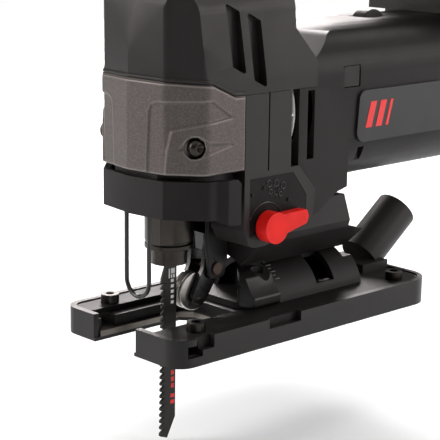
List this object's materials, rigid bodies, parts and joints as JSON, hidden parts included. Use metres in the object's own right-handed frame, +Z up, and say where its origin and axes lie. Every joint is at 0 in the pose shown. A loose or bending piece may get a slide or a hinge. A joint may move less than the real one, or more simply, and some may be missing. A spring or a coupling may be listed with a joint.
{
  "type": "jigsaw",
  "caption": "D-handle jigsaw with a tilting slotted base, reciprocating blade with tool-free clamp, guide roller, orbit lever, trigger and dust outlet.",
  "frame": {"origin": "centre of the sole's underside", "axes": "+Z up through the tool, -Y forward towards the blade, +X to the tool's left"},
  "size_m": [0.0806, 0.248, 0.254],
  "materials": {
    "housing_black": "fine satin texture",
    "cover_silver": "metallic paint with fine speckle",
    "grip_rubber": "soft-touch matte",
    "lever_grey": "satin dark grey",
    "lever_red": "glossy red-orange",
    "lever_black": "glossy black",
    "shoe_black": "scuffed satin",
    "steel_bright": "ground and brushed",
    "steel_dark": "dark burnished",
    "blade_black": "black oxide",
    "casting_black": "black paint",
    "aluminium_inner": "cast",
    "copper": "copper",
    "bronze": "sintered bronze",
    "badge": "plain plate"
  },
  "bodies": {
    "base": {"sole_plate": "steel_bright", "base_casting": "casting_black", "glide_shoe": "shoe_black", "base_screws": "steel_dark", "bevel_quadrant": "casting_black", "lock_bolt": "steel_dark", "dust_outlet": "housing_black"},
    "lock_lever": {"base_lock_lever": "lever_black"},
    "tool": {"head_housing_left": "housing_black", "head_housing_right": "housing_black", "gearbox_cover_left": "cover_silver", "gearbox_cover_right": "cover_silver", "cover_screws": "steel_dark", "gear_case_left": "housing_black", "gear_case_right": "housing_black", "nose_frame": "housing_black", "lever_pin": "steel_bright", "finger_guard": "steel_bright", "motor_housing_left": "housing_black", "motor_housing_right": "housing_black", "side_insert": "housing_black", "badge_plate": "badge", "keel_cover": "housing_black", "switch_block": "housing_black", "dial_pin": "steel_bright", "cord_gland": "housing_black", "stator": "steel_bright", "brush_holders": "housing_black", "motor_front_bearing": "steel_bright", "motor_rear_bearing": "steel_bright", "gear_bearing": "steel_bright", "lower_bush": "bronze", "upper_bush": "bronze", "roller_hanger": "steel_dark", "fork_pin": "copper", "hanger_block": "aluminium_inner", "selector_plate": "housing_black", "grip_left": "grip_rubber", "grip_right": "grip_rubber"},
    "rotor": {"motor_shaft": "steel_bright", "pinion": "steel_bright", "fan": "lever_grey", "armature": "steel_dark", "commutator": "copper"},
    "reduction": {"reduction_gear": "steel_dark", "gear_shaft": "steel_bright", "crank_pin": "steel_bright"},
    "plunger": {"plunger": "steel_bright", "yoke": "steel_dark", "clamp_holder": "steel_dark", "saw_blade": "blade_black"},
    "collar": {"clamp_collar": "steel_dark"},
    "fork": {"roller_fork": "steel_dark", "roller_axle": "steel_bright"},
    "roller": {"guide_roller": "steel_bright"},
    "blade_lever": {"blade_change_lever": "lever_grey"},
    "orbit": {"orbit_lever": "lever_red"},
    "trigger": {"trigger": "housing_black"},
    "button": {"lock_button": "lever_grey"},
    "dial": {"speed_dial": "lever_grey"}
  },
  "joints": [
    {"name": "bevel_tilt", "type": "hinge", "parent": "base", "child": "tool", "pos_m": [0, 0, 0.007], "axis": [0, 1, 0], "range_deg": [-45, 45]},
    {"name": "base_lock", "type": "hinge", "parent": "base", "child": "lock_lever", "pos_m": [0.015, -0.012, 0.015], "axis": [0, 0, -1], "range_deg": [0, 20]},
    {"name": "rotor_spin", "type": "hinge", "parent": "tool", "child": "rotor", "pos_m": [0, 0, 0.101], "axis": [0, 1, 0], "range_deg": [0, 1080]},
    {"name": "gear_turn", "type": "hinge", "parent": "tool", "child": "reduction", "pos_m": [0, 0, 0.129], "axis": [0, -1, 0], "range_deg": [0, 180]},
    {"name": "plunger_stroke", "type": "slide", "parent": "tool", "child": "plunger", "axis": [0, 0, 1], "range_m": [0, 0.0201]},
    {"name": "clamp_turn", "type": "hinge", "parent": "plunger", "child": "collar", "pos_m": [0, -0.0545, 0.05], "axis": [0, 0, 1], "range_deg": [0, 30], "stiffness_Nm_per_rad": 0.1, "springref_deg": -17.19},
    {"name": "roller_swing", "type": "hinge", "parent": "tool", "child": "fork", "pos_m": [0, -0.033, 0.03], "axis": [1, 0, 0], "range_deg": [-2, 2], "stiffness_Nm_per_rad": 1},
    {"name": "roller_spin", "type": "hinge", "parent": "fork", "child": "roller", "pos_m": [0, -0.0415, 0.0196], "axis": [1, 0, 0], "continuous": true},
    {"name": "blade_lever_swing", "type": "hinge", "parent": "tool", "child": "blade_lever", "pos_m": [-0.0302, -0.0456, 0.069], "axis": [0, 0, -1], "range_deg": [0, 60], "stiffness_Nm_per_rad": 0.15, "springref_deg": -17.19},
    {"name": "orbit_select", "type": "hinge", "parent": "tool", "child": "orbit", "pos_m": [0.036, -0.027, 0.0535], "axis": [1, 0, 0], "range_deg": [0, 90]},
    {"name": "trigger_pull", "type": "slide", "parent": "tool", "child": "trigger", "axis": [0, 0, 1], "range_m": [0, 0.005], "stiffness_N_per_m": 300, "springref_m": -0.004},
    {"name": "lock_button_press", "type": "slide", "parent": "tool", "child": "button", "axis": [-1, 0, 0], "range_m": [0, 0.003], "stiffness_N_per_m": 300, "springref_m": -0.003},
    {"name": "speed_dial_turn", "type": "hinge", "parent": "tool", "child": "dial", "pos_m": [0, 0.074, 0.132], "axis": [1, 0, 0], "range_deg": [0, 300]}
  ],
  "couplings": [
    {"joint": "gear_turn", "follows": "rotor_spin", "ratio": 0.16667},
    {"joint": "plunger_stroke", "follows": "rotor_spin", "m_per_rad": 0.00106}
  ]
}
